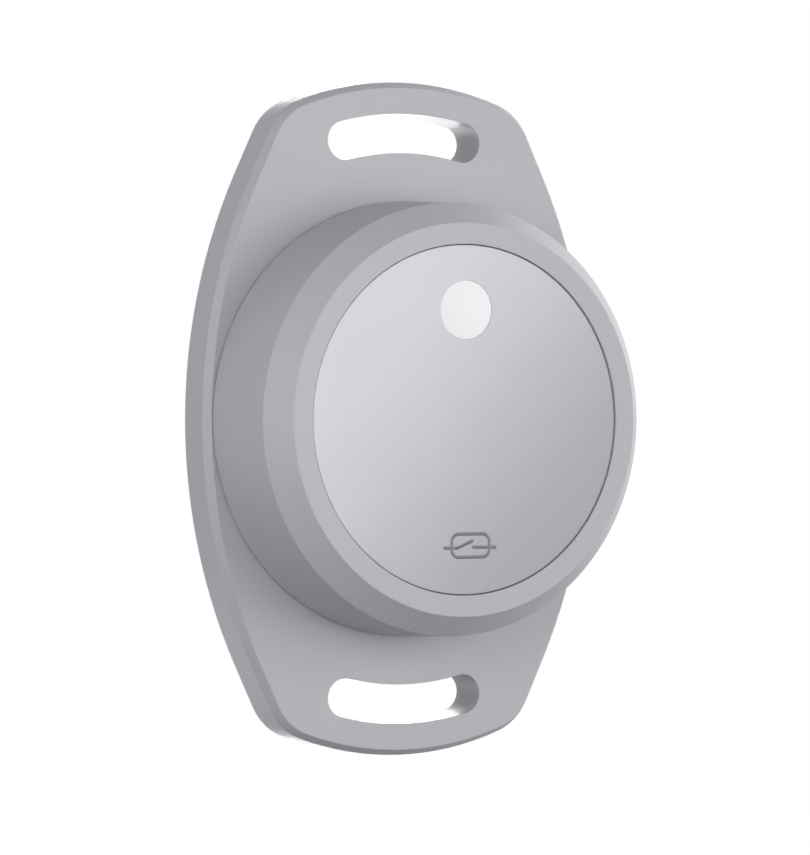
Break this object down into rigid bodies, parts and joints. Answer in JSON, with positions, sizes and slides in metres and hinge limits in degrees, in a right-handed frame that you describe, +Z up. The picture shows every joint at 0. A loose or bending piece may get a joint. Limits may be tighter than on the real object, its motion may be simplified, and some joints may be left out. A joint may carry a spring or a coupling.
{
  "type": "temperature humidity sensor",
  "caption": "Small wall sensor with a round twist-off cover on a long flange with curved fixing slots; board, humidity chip, reed contact and coin cell inside.",
  "frame": {"origin": "centre of the flat back face, on the axis of the round cover, in the plane of the wall", "axes": "+Z up, along the length of the flange; +X to the right as seen from the front; the face looks along -Y"},
  "size_m": [0.0398, 0.015, 0.06],
  "materials": {
    "base_plastic": "fine matte moulded grain, light grey",
    "cover_plastic": "fine matte moulded grain, light grey",
    "face_silver": "satin silver, smooth",
    "vent_white": "white, soft and matte",
    "seal_rubber": "black silicone rubber",
    "gasket_rubber": "black foam rubber",
    "adhesive": "translucent double-sided tape",
    "board_laminate": "green solder mask",
    "screw_steel": "zinc-plated steel",
    "chip_plastic": "black moulded package",
    "tinned_steel": "tinned sheet steel",
    "ceramic": "pale fired ceramic",
    "crystal_can": "gold-tinted metal lid",
    "capacitor_plastic": "moulded yellow case",
    "led_lens": "clear to cloudy lens",
    "reed_glass": "clear glass with a green tint",
    "reed_metal": "tinned nickel-iron",
    "holder_plastic": "black heat-resistant plastic",
    "contact_bronze": "gold-flashed bronze strip",
    "cell_steel": "bright nickel-plated steel"
  },
  "bodies": {
    "base": {"base_flange": "base_plastic", "cover_seal": "seal_rubber"},
    "twist_cover": {"cover": "cover_plastic", "face_plate": "face_silver", "face_adhesive": "adhesive", "vent_adhesive": "adhesive", "vent_membrane": "vent_white", "vent_gasket": "gasket_rubber", "circuit_board": "board_laminate", "board_screws": "screw_steel", "radio_chip": "chip_plastic", "radio_shield": "tinned_steel", "chip_antenna": "ceramic", "main_crystal": "crystal_can", "clock_crystal": "crystal_can", "bulk_capacitor": "capacitor_plastic", "humidity_chip": "chip_plastic", "status_led": "led_lens", "board_passives": "ceramic", "reed_glass": "reed_glass", "reed_moving_lead": "reed_metal", "reed_fixed_blade": "reed_metal", "battery_holder": "holder_plastic", "positive_contact": "contact_bronze", "negative_contact": "contact_bronze", "cell_can": "cell_steel", "cell_gasket": "holder_plastic", "cell_cap": "cell_steel"},
    "reed_contact": {"reed_leaf": "reed_metal"}
  },
  "joints": [
    {"name": "cover_twist", "type": "hinge", "parent": "base", "child": "twist_cover", "pos_m": [0, 0, 0], "axis": [0, -1, 0], "range_deg": [0, 40]},
    {"name": "reed_switch", "type": "hinge", "parent": "twist_cover", "child": "reed_contact", "pos_m": [-0.0033, -0.01135, -0.011], "axis": [0, 0, -1], "range_deg": [0, 1.3], "stiffness_Nm_per_rad": 0.000002}
  ]
}
